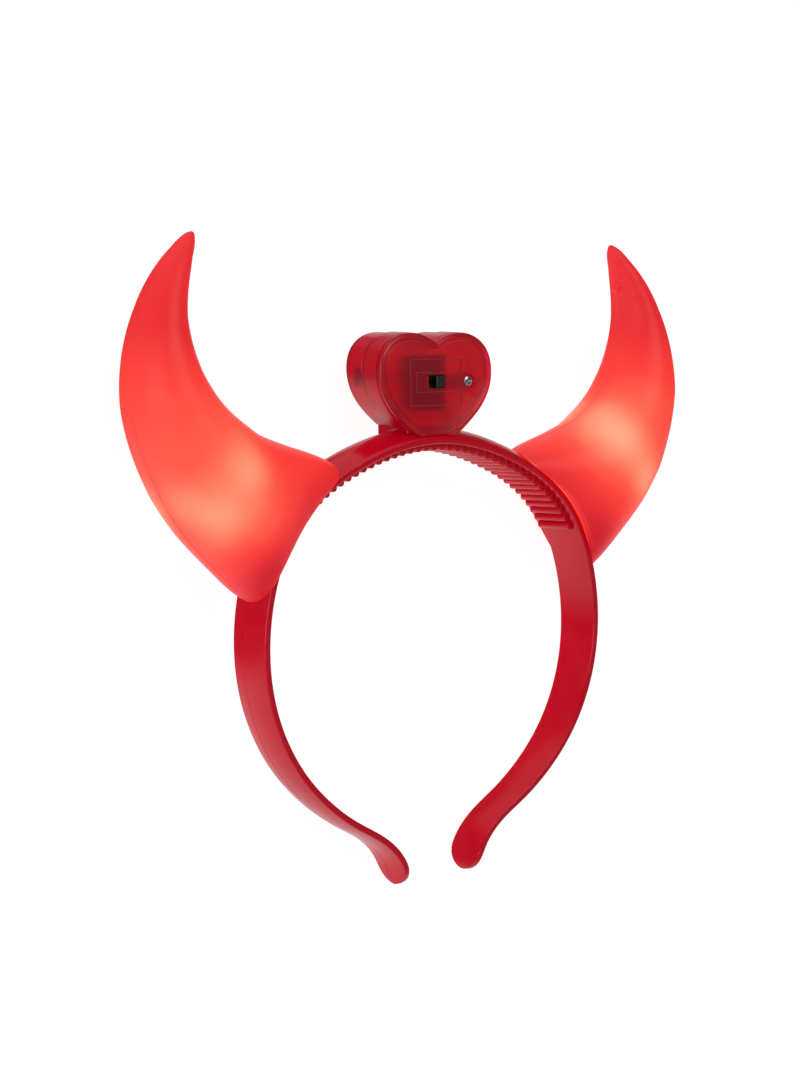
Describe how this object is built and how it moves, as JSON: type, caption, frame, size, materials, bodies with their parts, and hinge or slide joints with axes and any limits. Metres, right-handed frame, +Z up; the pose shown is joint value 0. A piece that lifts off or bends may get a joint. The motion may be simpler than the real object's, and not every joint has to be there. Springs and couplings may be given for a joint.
{
  "type": "light-up devil horns headband",
  "caption": "Red plastic headband with two glowing hollow devil horns and a heart-shaped battery box with a slide switch.",
  "frame": {"origin": "bottom centre of the bounding box: the table that the headband lies on, under the middle of its outline", "axes": "+X to the viewer's right across the head, +Y from the band's tips to the horns' tips, +Z up from the table, the way the heart's switch side faces"},
  "size_m": [0.2058, 0.192, 0.0367],
  "materials": {
    "band_red": "high gloss, saturated red",
    "horn_frosted": "frosted translucent red, lit from inside",
    "box_red": "clear red, glossy",
    "black": "satin",
    "steel": "bright zinc plated"
  },
  "bodies": {
    "headband": {"band": "band_red", "horn_left": "horn_frosted", "horn_right": "horn_frosted", "heart_front": "box_red", "heart_body": "box_red", "heart_back": "box_red", "cover_screw": "steel", "switch_housing": "black", "battery_holder": "black"},
    "switch": {"switch_knob": "black"}
  },
  "joints": [
    {"name": "switch_slide", "type": "slide", "parent": "headband", "child": "switch", "axis": [1, 0, 0], "range_m": [-0.0028, 0]}
  ]
}
